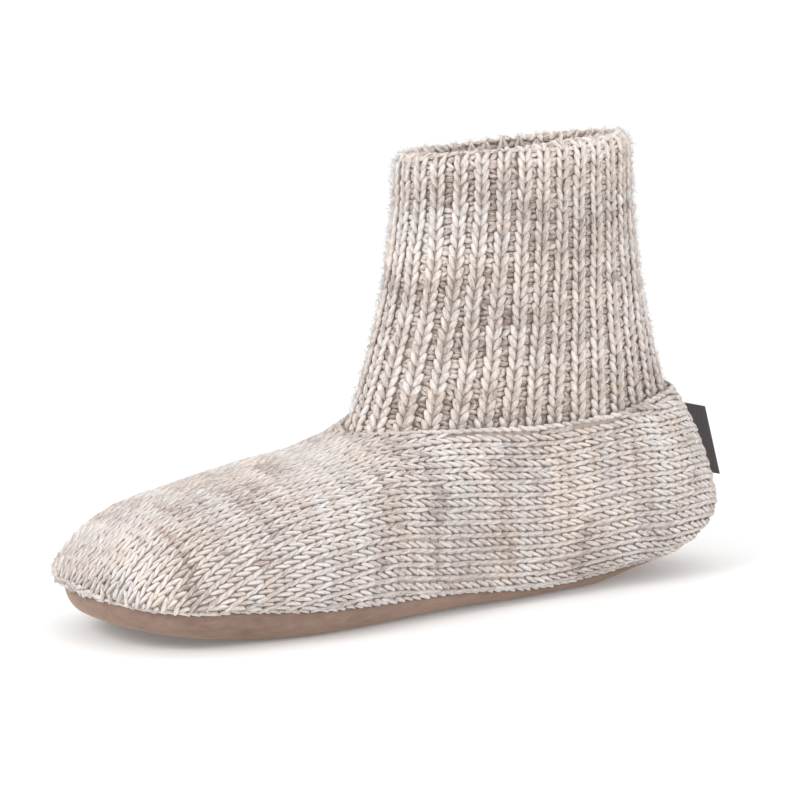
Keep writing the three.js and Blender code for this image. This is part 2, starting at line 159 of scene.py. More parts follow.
class Columns:
    """Columns of the foot's skin on one side, each at y along the foot and turned by angle in plan"""

    def __init__(self, y, angle, end, side, wall=0.0, lip=0.0, collar_wall=0.0):
        self.y = np.broadcast_to(y, np.shape(angle)).astype(float)
        self.angle, self.side = np.asarray(angle), side
        self.toe, self.back = end is TOE, -1 if end is TOE else 1
        tip = TOE_TIP if end is TOE else HEEL_BACK
        share = np.sin(self.angle) ** 2
        sizes = {k: curve(SECTION_AT, SECTIONS[k], self.y) * (1 - share) + tip[k] * share for k in tip}
        self.reach = curve(SECTION_AT, SECTIONS["outer" if side > 0 else "inner"], self.y)
        if end is not None:
            across = np.abs(np.cos(self.angle) / self.reach) ** end["power"]
            lengthwise = np.abs(np.sin(self.angle) / end["reach"]) ** end["power"]
            self.reach = (across + lengthwise) ** (-1 / end["power"])
        self.edge, self.turn, self.tuck = sizes["edge"], sizes["turn"], sizes["tuck"]
        self.widest, self.fullness = sizes["widest"], sizes["fullness"]
        self.start = self.reach - self.tuck - lip
        self.start_height = np.minimum(self.edge + (wall if wall > 1 else 0), self.widest - 1)
        self.widest_reach = self.reach - wall
        self.opening = self.find_opening(collar_wall)
        drop = np.where(self.opening > 0, min(wall, 1.6), wall)
        top = top_height(self.y + self.back * self.opening * np.sin(self.angle)) - drop
        share = self.opening / self.widest_reach
        self.rise = (top - self.widest) / (1 - share * share) ** self.fullness
        a, b = self.widest_reach - self.start, self.widest - self.start_height
        self.bulge = math.pi / 4 * (3 * (a + b) - np.sqrt((3 * a + b) * (a + 3 * b)))
        self.length = self.widest_reach + self.bulge

    def find_opening(self, inset):
        near, far = np.zeros_like(self.y), np.full_like(self.y, COLLAR["length"])
        if self.toe:
            return near
        for _ in range(30):
            r = (near + far) / 2
            y = self.y + self.back * r * np.sin(self.angle)
            inside = in_collar(r * np.cos(self.angle), y, inset)
            near, far = np.where(inside, r, near), np.where(inside, far, r)
        return np.where(near < 1e-3, 0, near)

    def place(self, r, z):
        """Points r out from each column's axis; r and z hold a row of points for each column"""
        y, angle = self.y[:, None], self.angle[:, None]
        x = middle_x(y) + self.side * r * np.cos(angle)
        return np.stack([x, y + self.back * r * np.sin(angle), z + 0 * r], axis=-1)

    def point(self, rho):
        """Points of the skin rho out from the axis, measured on round the bulge beyond the widest place"""
        reach, widest = self.widest_reach[:, None], self.widest[:, None]
        r = np.minimum(rho, reach)
        sine = np.sqrt(np.clip(1 - (r / reach) ** 2, 0, None))
        z = widest + self.rise[:, None] * sine ** (2 * self.fullness[:, None])
        if self.toe:
            z = z - TOP_SLOPE * np.sin(self.angle)[:, None] * r * sine**2
        turn = math.pi / 2 * (1 - np.clip((rho - reach) / self.bulge[:, None], 0, 1))
        start = self.start[:, None]
        below = rho > reach
        r = np.where(below, start + (reach - start) * np.sin(turn), r)
        z = np.where(below, widest - (widest - self.start_height[:, None]) * np.cos(turn), z)
        return self.place(r, z)

    def rows(self, count):
        """Points of each whole column from the top edge down to the sole's edge"""
        upper = np.arccos(np.clip(self.opening / self.widest_reach, 0, 1))[:, None]
        steps = np.linspace(1, 0, count - count // 4)[None, :-1]
        rho = self.widest_reach[:, None] * np.cos(upper * steps)
        round_bulge = np.linspace(0, 1, count // 4 + 1)[None, :]
        return self.point(np.hstack([rho, self.widest_reach[:, None] + self.bulge[:, None] * round_bulge]))


def eased(count):
    """Steps from 0 to 1, close together near 1"""
    return np.sin(np.linspace(0, math.pi / 2, count))


def outline_columns(side, fan, beside, ahead, front=COLLAR_FRONT, **options):
    """Sets of columns from the back seam along one side to the toe tip"""
    heel = Columns(HEEL["axis"], np.linspace(math.pi / 2, 0, fan), HEEL, side, **options)
    behind = HEEL["axis"] + (front - HEEL["axis"]) * eased(beside)
    forward = front + (TOE["axis"] - front) * np.linspace(0, 1, ahead)
    y = np.concatenate([behind[1:], forward[1:]])
    flank = Columns(y, np.zeros(len(y)), None, side, **options)
    toe = Columns(TOE["axis"], np.linspace(0, math.pi / 2, fan)[1:], TOE, side, **options)
    return [heel, flank, toe]


def around(make, fan=20, beside=44, ahead=24, **options):
    """Rings of points all round the foot: make gives each column's points"""
    outer = np.concatenate([make(c) for c in outline_columns(1, fan, beside, ahead, **options)])
    inner = np.concatenate([make(c) for c in outline_columns(-1, fan, beside, ahead, **options)])
    return np.concatenate([outer, inner[1:-1][::-1]]).transpose(1, 0, 2)


# Meshes


def mesh_object(name, points, quads, triangles=None):
    """Smooth mesh object from points in millimetres of the tables' frame"""
    triangles = np.zeros((0, 3), int) if triangles is None else triangles
    mesh = bpy.data.meshes.new(name)
    mesh.vertices.add(len(points))
    mesh.vertices.foreach_set("co", ((points + ORIGIN) * MM).astype(np.float32).ravel())
    corners = np.concatenate([quads.ravel(), triangles.ravel()]).astype(np.int32)
    sizes = np.concatenate([np.full(len(quads), 4), np.full(len(triangles), 3)])
    mesh.loops.add(len(corners))
    mesh.loops.foreach_set("vertex_index", corners)
    mesh.polygons.add(len(sizes))
    mesh.polygons.foreach_set("loop_start", np.concatenate([[0], np.cumsum(sizes)[:-1]]).astype(np.int32))
    mesh.polygons.foreach_set("use_smooth", np.ones(len(sizes), bool))
    mesh.update(calc_edges=True)
    mesh.validate()
    obj = bpy.data.objects.new(name, mesh)
    bpy.context.scene.collection.objects.link(obj)
    return obj


def ring_body(name, rings, wrapped, merge=0.02):
    """Closed body whose rings of points follow each other"""
    count, size = rings.shape[:2]
    pairs = np.arange(count if wrapped else count - 1)
    low = pairs[:, None] * size + np.arange(size)[None]
    after = pairs[:, None] * size + (np.arange(size)[None] + 1) % size
    step = ((pairs + 1) % count - pairs)[:, None] * size
    quads = np.stack([low, low + step, after + step, after], axis=-1).reshape(-1, 4)
    points = rings.reshape(-1, 3)
    mirror = (size - np.arange(size)) % size
    on_middle = (np.linalg.norm(rings - rings[:, mirror], axis=-1) < 1e-3).ravel()
    quads = quads[~on_middle[quads].all(axis=1)]
    obj = mesh_object(name, points, quads)
    merge_points(obj, merge)
    return obj


def merge_points(obj, distance):
    bm = bmesh.new()
    bm.from_mesh(obj.data)
    bmesh.ops.remove_doubles(bm, verts=bm.verts, dist=distance * MM)
    bmesh.ops.recalc_face_normals(bm, faces=bm.faces)
    bm.to_mesh(obj.data)
    bm.free()


# Yarn

STITCH_WIDTH = 4.7
STITCH_HEIGHT = 3.95
YARN_LENGTH = 4.4
YARN_ROUND = 4.6
# How far apart the yarns of two strands may lie in the wool's texture
APART = 50
ROUGH = 0.07
# How much the tone of a stitch differs from its neighbours'
OWN_TONE = 0.18
# How much a stitch strays along, across and out, and how much its length, width and height vary
PLAY = [0.16, 0.1, 0.1, 0.06, 0.06, 0.05]
CELL_MARGIN = 0.08


class Strand:
    """Faces and unrolled places of a short closed strand: rings of points between its two end points"""

    def __init__(self, rings, sides):
        self.t, self.sides = np.concatenate([[0], rings, [1]]), sides
        self.size = 2 + len(rings) * sides
        quads, triangles, quad_uv, triangle_uv = [], [], [], []
        for i in range(len(rings) - 1):
            for q in range(sides):
                a, b = 1 + i * sides + q, 1 + i * sides + (q + 1) % sides
                quads.append([a, b, b + sides, a + sides])
                low, high = rings[i], rings[i + 1]
                quad_uv.append([(low, q), (low, q + 1), (high, q + 1), (high, q)])
        last = self.size - 1
        for q in range(sides):
            a, b = 1 + q, 1 + (q + 1) % sides
            triangles += [[0, b, a], [last, last - sides + q, last - sides + (q + 1) % sides]]
            triangle_uv.append([(0, q + 0.5), (rings[0], q + 1), (rings[0], q)])
            triangle_uv.append([(1, q + 0.5), (rings[-1], q), (rings[-1], q + 1)])
        self.quads, self.triangles = np.array(quads, int).reshape(-1, 4), np.array(triangles)
        self.quad_uv = np.array(quad_uv, float).reshape(-1, 4, 2) / [1, sides]
        self.triangle_uv = np.array(triangle_uv, float) / [1, sides]
        self.along = np.concatenate([[0], np.repeat(rings, sides), [1]])
        self.round = np.concatenate([[0.5], np.tile(np.arange(sides) / sides, len(rings)), [0.5]])

    def body(self, path, half, width_way, height_way):
        """Points of strands: paths with a point for each step of t, and how thick they are each way there"""
        turn = 2 * math.pi * np.arange(self.sides) / self.sides
        middle = path[..., 1:-1, None, :]
        half = half[..., 1:-1, None, None]
        wide = np.cos(turn)[:, None] * width_way[..., 1:-1, None, :]
        high = np.sin(turn)[:, None] * height_way[..., 1:-1, None, :]
        rings = (middle + half * (wide + high)).reshape(*path.shape[:-2], -1, 3)
        return np.concatenate([path[..., :1, :], rings, path[..., -1:, :]], axis=-2)


LEG = Strand(np.array([0.05, 0.24, 0.5, 0.76, 0.95]), 5)
COARSE_LEG = Strand(np.array([0.1, 0.5, 0.9]), 5)
HAIR = Strand(np.array([0.55]), 3)


# The legs of a V stitch: where each starts and ends beside its column's middle, and how long it is.
# The foot's knit is a little skewed, so one leg leans more than the other.
LEANING_LEG = {"tip": -0.2, "end": 2.15, "length": 6.2}
UPRIGHT_LEG = {"tip": 0.8, "end": 1.8, "length": 6.4}
RIB_LEG = {"tip": 0.3, "end": 2.35, "length": 5.8}
EDGE_LEG = {"tip": -0.75, "end": 0.75, "length": 5.2}
FLATNESS = 0.9


def leg_shape(strand, leg, mirror, thick, arch):
    """One leg of a V stitch: points along, across and out, its centre line bowed outwards.
    It runs from the V's tip, near the middle, to the outer end."""
    t = strand.t
    along = leg["length"] * (0.5 - t)
    across = leg["tip"] + (leg["end"] - leg["tip"]) * t**0.85
    out = arch * (4 * t * (1 - t) - 0.55) - 0.5 * (1 - t) ** 2 - 0.3
    half = thick * np.clip(4 * t * (1 - t), 0, 1) ** 0.375
    heading = unit(np.stack([np.gradient(along), np.gradient(across)], axis=-1))
    width_way = np.stack([-heading[:, 1], heading[:, 0], 0 * t], axis=-1)
    height_way = np.tile([0, 0, FLATNESS], (len(t), 1))
    points = strand.body(np.stack([along, across, out], axis=-1), half, width_way, height_way)
    points[:, 1] *= mirror
    return points


def stitch_shapes(strand, legs, handed, thick, arch):
    """Both legs of a V stitch, the first one on the side that handed says"""
    mirrors = (-handed, handed)
    return np.stack([leg_shape(strand, leg, mirror, thick, arch) for leg, mirror in zip(legs, mirrors)])


def yarn_object(name, strand, shapes, centre, along, across, out, tone, tint, jitter=1.0):
    """One object of many strands. shapes holds each one's points along, across and out of its own frame."""
    count, size = len(centre), strand.size
    moved = rng.normal(size=(count, 6)) * PLAY * jitter
    rough = rng.normal(size=shapes.shape) * ROUGH * jitter
    local = shapes * (1 + moved[:, None, 3:]) + moved[:, None, :3] + rough
    frames = np.stack([along, across, out], axis=1)
    points = centre[:, None] + np.einsum("nij,njk->nik", local, frames)
    first = (np.arange(count) * size)[:, None, None]
    hand = np.sign(np.einsum("ni,ni->n", np.cross(along, across), out))
    turned = (hand * np.sign(shapes[:, :, 1].mean(axis=1)) < 0)[:, None, None]
    quads = np.where(turned, strand.quads[None, :, ::-1], strand.quads[None]) + first
    triangles = np.where(turned, strand.triangles[None, :, ::-1], strand.triangles[None]) + first
    obj = mesh_object(name, points.reshape(-1, 3), quads.reshape(-1, 4), triangles.reshape(-1, 3))
    yarn = np.empty((count, size, 3), np.float32)
    yarn[:, :, 0] = strand.along * YARN_LENGTH + rng.random((count, 1)) * APART
    yarn[:, :, 1] = strand.round * YARN_ROUND
    yarn[:, :, 2] = rng.random((count, 1)) * 2 * APART
    obj.data.attributes.new("yarn", "FLOAT_VECTOR", "POINT").data.foreach_set("vector", yarn.ravel())
    colour = np.zeros((count, size, 3), np.float32)
    colour[:, :, 0], colour[:, :, 1] = tone[:, None], tint[:, None]
    obj.data.attributes.new("tone", "FLOAT_VECTOR", "POINT").data.foreach_set("vector", colour.ravel())
    cells = math.ceil(math.sqrt(count))
    cell = np.stack([np.arange(count) % cells, np.arange(count) // cells], axis=-1)[:, None, None]
    uv = []
    for part in (strand.quad_uv, strand.triangle_uv):
        part = np.where(turned[..., None], part[None, :, ::-1], part[None])
        uv.append(((part * (1 - 2 * CELL_MARGIN) + CELL_MARGIN + cell) / cells).reshape(-1, 2))
    layer = obj.data.uv_layers.new(name="OFBake")
    layer.data.foreach_set("uv", np.concatenate(uv).astype(np.float32).ravel())
    return obj


HAIR_LEAN = (0.5, 1.4)
HAIR_BEND = [0.35, 0.35, 0.22]
HAIR_HALF = (0.045, 0.085)
HAIR_TONE = 0.6
LONGEST_HAIR = 3.8
ROOT_SPREAD = [1, 1, 0.15]
ROOT_HEIGHT = [0, 0, 0.35]


def hairs(name, roots, along, across, out, tone, tint):
    """Loose fibres that stand off the yarn, each bent its own way"""
    count = len(roots)
    length = rng.uniform(0.4, 1, count) ** 1.6 * LONGEST_HAIR
    lean, way = rng.uniform(*HAIR_LEAN, count), rng.uniform(0, 2 * math.pi, count)
    start = np.stack([np.sin(lean) * np.cos(way), np.sin(lean) * np.sin(way), np.cos(lean)], axis=-1)
    bend = rng.normal(size=(count, 3)) * HAIR_BEND
    t = HAIR.t[None, :, None]
    root = rng.normal(size=(count, 1, 3)) * ROOT_SPREAD + ROOT_HEIGHT
    path = root + length[:, None, None] * (start[:, None] * t + bend[:, None] * t**2)
    heading = unit(start + bend)
    width_way = unit(np.cross(heading, rng.normal(size=(count, 3))))
    height_way = np.cross(heading, width_way)
    half = np.repeat(rng.uniform(*HAIR_HALF, count)[:, None], len(HAIR.t), axis=1)
    ways = [np.repeat(way[:, None], len(HAIR.t), axis=1) for way in (width_way, height_way)]
    shapes = HAIR.body(path, half, *ways)
    return yarn_object(name, HAIR, shapes, roots, along, across, out, tone + HAIR_TONE, tint, jitter=0)


def smooth_noise(size, spacing):
    """Row of smooth random values from -1 to 1, with one new value every spacing places"""
    knots = rng.uniform(-1, 1, int(size / spacing) + 3)
    x = np.arange(size) / spacing + rng.random()
    i = x.astype(int)
    t = x - i
    t = t * t * (3 - 2 * t)
    return knots[i] * (1 - t) + knots[i + 1] * t


def marl(courses, places):
    """Light and dark of a marled knit: one row of values for each course, each changing slowly along it"""
    rows = np.array([smooth_noise(places, 3.2) for _ in range(courses)])
    patches = np.array([smooth_noise(places, 9) for _ in range(courses // 3 + 3)])
    lines = np.array([smooth_noise(courses, 1.0) for _ in range(places)]).T
    x = np.arange(courses) / 3
    i = x.astype(int)
    t = (x - i)[:, None]
    t = t * t * (3 - 2 * t)
    return 0.6 * rows + 0.65 * (patches[i] * (1 - t) + patches[i + 1] * t) + 0.15 * lines


# Knitted foot

ROLL = 1.3
ROLL_TURN = 1.9
SECTION_POINTS = 150
BULGE_POINTS = 40
ROLL_POINTS = 12
TIP_SECTIONS = 60
# What the wales count where they meet the sole's edge, along the foot, in millimetres from the ridge
COUNT_AT = [-141, -130, -115, -96, -72, -48, 0, 40, 96, 112, 128, 141]
COUNT = [22, 40, 56, 67.5, 79, 83, 80, 81, 83.5, 82, 77, 69.5]
SPREAD = 0.12


def side_sections(side):
    """Sections of one side from the back seam to the toe tip: points down each from the ridge or the
    collar's edge, how far down they are, and where along the foot the section stands"""
    sections = []
    heel, flank, _ = outline_columns(side, 30, 70, 60)
    for columns in (heel, flank):
        for i in range(len(columns.y)):
            end = HEEL if columns is heel else None
            one = Columns(columns.y[i : i + 1], columns.angle[i : i + 1], end, side)
            opening, upper = one.opening[0], np.arccos(one.opening[0] / one.widest_reach[0])
            rho = one.widest_reach[0] * np.cos(upper * np.linspace(1, 0, SECTION_POINTS))
            round_bulge = one.bulge[0] * np.linspace(0.02, 1, BULGE_POINTS)
            rho = np.concatenate([rho, one.widest_reach[0] + round_bulge])
            points = one.point(rho[None])[0]
            reached = distances(points)
            if opening > 0.3:
                up = unit(points[0] - points[2])
                away = np.array([side * math.cos(one.angle[0]), math.sin(one.angle[0]), 0])
                out = up[2] * away - (up @ away) * np.array([0, 0, 1.0])
                turn = np.linspace(ROLL_TURN, 0.1, ROLL_POINTS)[:, None]
                roll = points[0] + ROLL * (up * np.sin(turn) - out * (1 - np.cos(turn)))
                points = np.concatenate([roll, points])
                reached = np.concatenate([-ROLL * turn[:, 0], reached])
            stands = one.y[0] + one.back * one.widest_reach[0] * math.sin(one.angle[0])
            sections.append((points, reached, stands))
    tip = Columns(TOE["axis"], np.array([math.pi / 2]), TOE, side)
    for depth in np.linspace(0, 1, TIP_SECTIONS)[1:-1] * tip.length[0]:
        near, far = 0.0, 80.0
        for _ in range(30):
            x = (near + far) / 2
            one = Columns(TOE["axis"], np.array([math.atan2(depth, x)]), TOE, side)
            near, far = (x, far) if math.hypot(x, depth) < one.length[0] else (near, x)
        x = near * np.linspace(0, 1, SECTION_POINTS)
        ray = Columns(TOE["axis"], np.arctan2(depth, x), TOE, side)
        points = ray.point(np.hypot(x, depth)[:, None])[:, 0]
        sections.append((points, distances(points), TOE["axis"] - depth))
    return sections


def foot_sections(side):
    """Sections of one side, with what the wales count at each point and at the collar's edge.
    The wales are wider near the sole."""
    outer = [(down[-1], curve(COUNT_AT, COUNT, y), down[0] < 0) for _, down, y in side_sections(1)]
    front, front_count, _ = next(one for one in outer if not one[2])
    found = []
    for (points, reached, _), (length, count, is_open) in zip(side_sections(side), outer):
        full, full_count = (front, front_count) if is_open else (length, count)
        up = length - reached
        counted = count - full_count / full * up * (1 - SPREAD + SPREAD * up / full)
        found.append((points, counted, np.interp(0, reached, counted) if is_open else NO_EDGE))
    return found


def count_line(sections, counts):
    """A line of points, one on each section, where the wales count what counts says for it"""
    return np.array([points_at(at, counted, points) for (points, counted, _), at in zip(sections, counts)])


def room_at(sections, wale):
    """A mask of the sections where the wales count wale, and how far that is from the collar's edge and
    from the sole's edge there"""
    over = np.array([wale - edge for _, _, edge in sections])
    left = np.array([counted[-1] - wale for _, counted, _ in sections])
    reached = np.array([counted[0] - 0.01 <= wale for _, counted, _ in sections])
    return (left > WALE_ROOM) & (over > WALE_ROOM) & reached, over, left


def runs(mask):
    """Start and end of each stretch of True"""
    edges = np.flatnonzero(np.diff(np.concatenate([[0], mask.astype(int), [0]])))
    return edges.reshape(-1, 2)


def stitches_along(path, down, side, zero, margin):
    """Centre and directions of the stitches along a line, counted from zero, and the count of each"""
    travelled = distances(path)
    low = math.ceil((margin - zero) / STITCH_HEIGHT)
    courses = np.arange(low, math.floor((travelled[-1] - margin - zero) / STITCH_HEIGHT) + 1)
    at = zero + courses * STITCH_HEIGHT
    centre, across = points_at(at, travelled, path), points_at(at, travelled, down)
    along = unit(points_at(at - NEAR, travelled, path) - points_at(at + NEAR, travelled, path))
    out = unit(np.cross(along, across)) * side
    across = unit(np.cross(out, along)) * side
    centre = centre + across * (WANDER * smooth_noise(len(at), 4))[:, None]
    return centre, along, across, out, courses, at


def foot_stitches(sections, side):
    """Centre, directions, course and wale of every stitch on one side of the foot, and the room that its
    legs have towards the collar and towards the sole"""
    reference = next(i for i, (points, _, _) in enumerate(sections) if points[-1, 1] < -30)
    found = []
    for wale in range(MOST_WALES):
        middle = count_line(sections, [(wale + 0.5) * STITCH_WIDTH] * len(sections))
        above = count_line(sections, [(wale + 0.3) * STITCH_WIDTH] * len(sections))
        inside, over, left = room_at(sections, (wale + 0.5) * STITCH_WIDTH)
        for first, end in runs(inside):
            if end - first < 4:
                continue
            path, down = middle[first:end], unit(middle[first:end] - above[first:end])
            travelled = distances(path)
            zero = np.interp(reference, np.arange(first, end), travelled)
            *stitches, courses, at = stitches_along(path, down, side, zero, WALE_MARGIN)
            over_at, left_at = (
                np.interp(at + reach * ENDS, travelled, room[first:end]).min(axis=0)
                for room, reach in ((over, COLLAR_REACH), (left, SOLE_REACH))
            )
            found.append((*stitches, courses, np.full(len(at), wale), over_at, left_at))
    return [np.concatenate(parts) for parts in zip(*found)]


def edge_rows(sections, side):
    """Centre, directions and course of the single legs along the collar's edge and the sole's edge"""
    open_ones = [one for one in sections if one[2] > NO_EDGE]
    collar = np.array([edge + COLLAR_ROW for _, _, edge in open_ones])
    sole = np.array([counted[-1] - SOLE_ROW for _, counted, _ in sections])
    found = []
    for ones, counts in ((open_ones, collar), (sections, sole)):
        above, path, below = (count_line(ones, counts + step) for step in (-0.5, 0, 0.5))
        found.append(stitches_along(path, unit(below - above), side, 0.5 * STITCH_HEIGHT, EDGE_MARGIN)[:-1])
    return [np.concatenate(parts) for parts in zip(*found)]


NO_EDGE = -100
# The room beside an edge that a wale, each leg of a stitch, and the leg towards that edge need
WALE_ROOM = 0.1
LEG_ROOM = 0.4
EDGE_LEG_ROOM = 1.9
# How far along its wale a stitch has to have that room, at the collar's edge and at the sole's edge
COLLAR_REACH = 1.0
SOLE_REACH = 2.8
ENDS = np.array([[-1], [0], [1]])
# How far the rows of single legs lie inside the collar's edge and the sole's edge
COLLAR_ROW = 0.2
SOLE_ROW = 1.1
# How near a line's ends a stitch may be centred
WALE_MARGIN = 0.6
EDGE_MARGIN = -0.8
# A stitch points along its wale as the wale runs this near to its middle
NEAR = 0.9
MOST_WALES = 27
FOOT_LEG = {"thick": 0.98, "arch": 0.36}
WANDER = 0.22
FOOT_HAIRS = 24000
FOOT_COURSES = 220
FOOT_PLACES = 80
marl_foot = marl(FOOT_COURSES, FOOT_PLACES)
tint_foot = marl(FOOT_COURSES, FOOT_PLACES)


def knitted_foot():
    """The foot's V stitches in three pieces, and the fibres that stand off them.
    Beside the sole only the upper leg of a stitch may have room."""
    parts, legs = [], []
    for side in (1, -1):
        sections = foot_sections(side)
        *frame, course, wale, over, left = foot_stitches(sections, side)
        shapes = stitch_shapes(LEG, (LEANING_LEG, UPRIGHT_LEG), side, **FOOT_LEG)
        lower = shapes[:, :, 1].mean(axis=1) > 0
        kept = (np.where(lower, left[:, None], over[:, None]) > EDGE_LEG_ROOM).ravel()
        kept &= np.repeat(np.minimum(over, left) > LEG_ROOM, 2)
        row, place = course + FOOT_COURSES // 2, FOOT_PLACES // 2 + side * (wale + 2)
        tone = marl_foot[row, place] + rng.normal(size=len(row)) * OWN_TONE
        stitches = [*frame, tone, tint_foot[row, place]]
        doubled = [np.repeat(values, 2, axis=0)[kept] for values in stitches]
        legs.append([np.tile(shapes, (len(row), 1, 1))[kept], *doubled])
        parts.append(stitches)
        *frame, course = edge_rows(sections, side)
        row = course + FOOT_COURSES // 2
        edge_leg = np.repeat(leg_shape(LEG, EDGE_LEG, -side, 1.0, 0.36)[None], len(row), axis=0)
        legs.append([edge_leg, *frame, marl_foot[row, 2], tint_foot[row, 2]])
    stitches = [np.concatenate(p) for p in zip(*parts)]
    shapes, *legs = [np.concatenate(p) for p in zip(*legs)]
    order = np.argsort(legs[0][:, 1], kind="stable")
    names = ("foot_knit_toe", "foot_knit_middle", "foot_knit_heel")
    for name, part in zip(names, np.array_split(order, len(names))):
        yield yarn_object(name, LEG, shapes[part], *(x[part] for x in legs))
    picked = rng.integers(0, len(stitches[0]), FOOT_HAIRS)
    yield hairs("foot_fuzz", *(x[picked] for x in stitches))


def foot_lining():
    """The knit's inner cloth: it fills the places between the stitches and forms the inside of the foot"""
    outside = around(lambda c: c.rows(36), wall=0.45, lip=0.45, collar_wall=0.75)
    inside = around(lambda c: c.rows(24), front=COLLAR_FRONT + 2, wall=3.0, lip=SOLE_WALL, collar_wall=2)
    rim = (outside[0] + inside[0]) / 2 + np.array([0, 0, 0.9])
    mirror = (rim.shape[0] - np.arange(rim.shape[0])) % rim.shape[0]
    closed = np.linalg.norm(outside[0] - outside[0][mirror], axis=-1) < 1e-3
    rim[closed] = outside[0][closed]
    return ring_body("foot_lining", np.concatenate([outside[::-1], rim[None], inside]), True)


# Ribbed shaft

RIBS = 32
SHAFT_WALL = 5.5
SHAFT_CLEAR = 2.45
SHAFT_HEIGHT = 103
NARROWING = 2
TUCKED = 8
RELIEF = {"outside": 1.5, "fold": 0.8, "inside": 1.2}
FIRST_COURSE = 5


def shaft_points(level, depth, lift, fraction):
    """Points of the shaft: a ring for each level from 0 at the collar to 1 at the rim, inset by depth"""
    rings = []
    angle = np.linspace(0, 2 * math.pi, 721)
    power = np.where(np.cos(angle) < 0, COLLAR["front"], COLLAR["back"])
    shape = [np.sign(f) * np.abs(f) ** (2 / power) for f in (np.sin(angle), np.cos(angle))]
    for lev, dep, up in zip(level, depth, lift):
        ease = 1 - (1 - max(lev, 0)) ** NARROWING
        inset = dep + SHAFT_CLEAR
        middle = COLLAR["middle"] * (1 - ease) + RIM["middle"] * ease
        length = (COLLAR["length"] - inset) * (1 - ease) + (RIM["length"] - dep) * ease
        width = (COLLAR["width"] - inset) * (1 - ease) + (RIM["width"] - dep) * ease
        x, y = width * shape[0], length * shape[1]
        reached = distances(np.column_stack([x, y]))
        x = np.interp(fraction * reached[-1], reached, x)
        y = np.interp(fraction * reached[-1], reached, y)
        foot = top_height(COLLAR["middle"] + y / length * COLLAR["length"])
        rim = RIM["height"] + RIM["back_rise"] * y / length + RIM["outer_rise"] * x / width
        share = max(lev, 0)
        rings.append(np.stack([x, middle + y, foot * (1 - share) + rim * share + up], axis=-1))
    return np.array(rings)


def shaft_path():
    """Levels, depths and lifts up the outside, over the rim and down the inside, and how deep the ribs are"""
    turn = np.linspace(0, math.pi, 19)[1:-1]
    outside = np.cos(turn) > 0
    width, height = (np.where(outside, FOLD["outside"][k], FOLD["inside"][k]) for k in (0, 1))
    up = np.concatenate([[0], np.linspace(0, 1 - FOLD["outside"][1] / SHAFT_HEIGHT, 44)])
    down = np.concatenate([np.linspace(1 - FOLD["inside"][1] / SHAFT_HEIGHT, 0, 46), [0]])
    level = np.concatenate([up, np.ones(len(turn)), down])
    over = FOLD["outside"][0] - width * np.cos(turn)
    depth = np.concatenate([np.zeros(len(up)), over, np.full(len(down), SHAFT_WALL)])
    lift = np.concatenate([np.zeros(len(up)), height * (np.sin(turn) - 1), np.zeros(len(down))])
    lift[[0, -1]] = -TUCKED
    first, last = len(up), len(up) + len(turn)
    relief = np.interp(np.arange(len(level)), [first, first + 9, last], list(RELIEF.values()))
    return level, depth, lift, relief


def outwards(points):
    """Unit directions out of a grid of points that is closed round"""
    up = unit(np.gradient(points, axis=0))
    side = unit(np.roll(points, -1, axis=1) - np.roll(points, 1, axis=1))
    return unit(np.cross(up, side))


def shaft_lining():
    level, depth, lift, relief = shaft_path()
    fraction = np.arange(RIBS * 10) / (RIBS * 10)
    points = shaft_points(level, depth, lift, fraction)
    valley = (0.5 - 0.5 * np.cos(2 * math.pi * RIBS * fraction)) ** 0.8
    sunk = 1.0 + relief[:, None] * valley[None]
    return ring_body("shaft_lining", points - outwards(points) * sunk[..., None], True)


def shaft_lines(fraction, sunk):
    """Lines of places over the shaft, a stitch apart, at each fraction of the way round"""
    level, depth, lift, relief = shaft_path()
    fine = np.sort(np.concatenate([fraction - 1e-3, fraction, fraction + 1e-3]))
    points = shaft_points(level, depth, lift, fine % 1.0)
    order = np.searchsorted(fine, fraction)
    middle = points[:, order]
    side = points[:, order + 1] - points[:, order - 1]
    pitch = np.linalg.norm(side, axis=-1) / 2e-3 / RIBS
    found = []
    for j in range(len(fraction)):
        path = middle[:, j]
        travelled = distances(path)
        rows = np.arange(int((travelled[-1] - FIRST_COURSE - 1) / STITCH_HEIGHT))
        at = FIRST_COURSE + rows * STITCH_HEIGHT
        centre, across = points_at(at, travelled, path), unit(points_at(at, travelled, side[:, j]))
        along = unit(points_at(at - 0.7, travelled, path) - points_at(at + 0.7, travelled, path))
        out = unit(np.cross(across, along))
        across = unit(np.cross(along, out))
        centre = centre - out * sunk * np.interp(at, travelled, relief)[:, None]
        centre = centre + across * (RIB_WANDER * smooth_noise(len(at), 5))[:, None]
        inside = at > travelled[len(travelled) // 2]
        width = np.interp(at, travelled, pitch[:, j]) / RIM_PITCH
        found.append((centre, along, across, out, rows, np.full(len(rows), j), inside, width))
    return [np.concatenate(parts) for parts in zip(*found)]


RIM_PITCH = 7.9
RIB_WANDER = 0.45
SHAFT_HAIRS = 22000
SHAFT_COURSES = 120
SHAFT_LEG = {"thick": 1.12, "arch": 0.4}
marl_shaft = marl(SHAFT_COURSES, RIBS + 2)
tint_shaft = marl(SHAFT_COURSES, RIBS + 2)


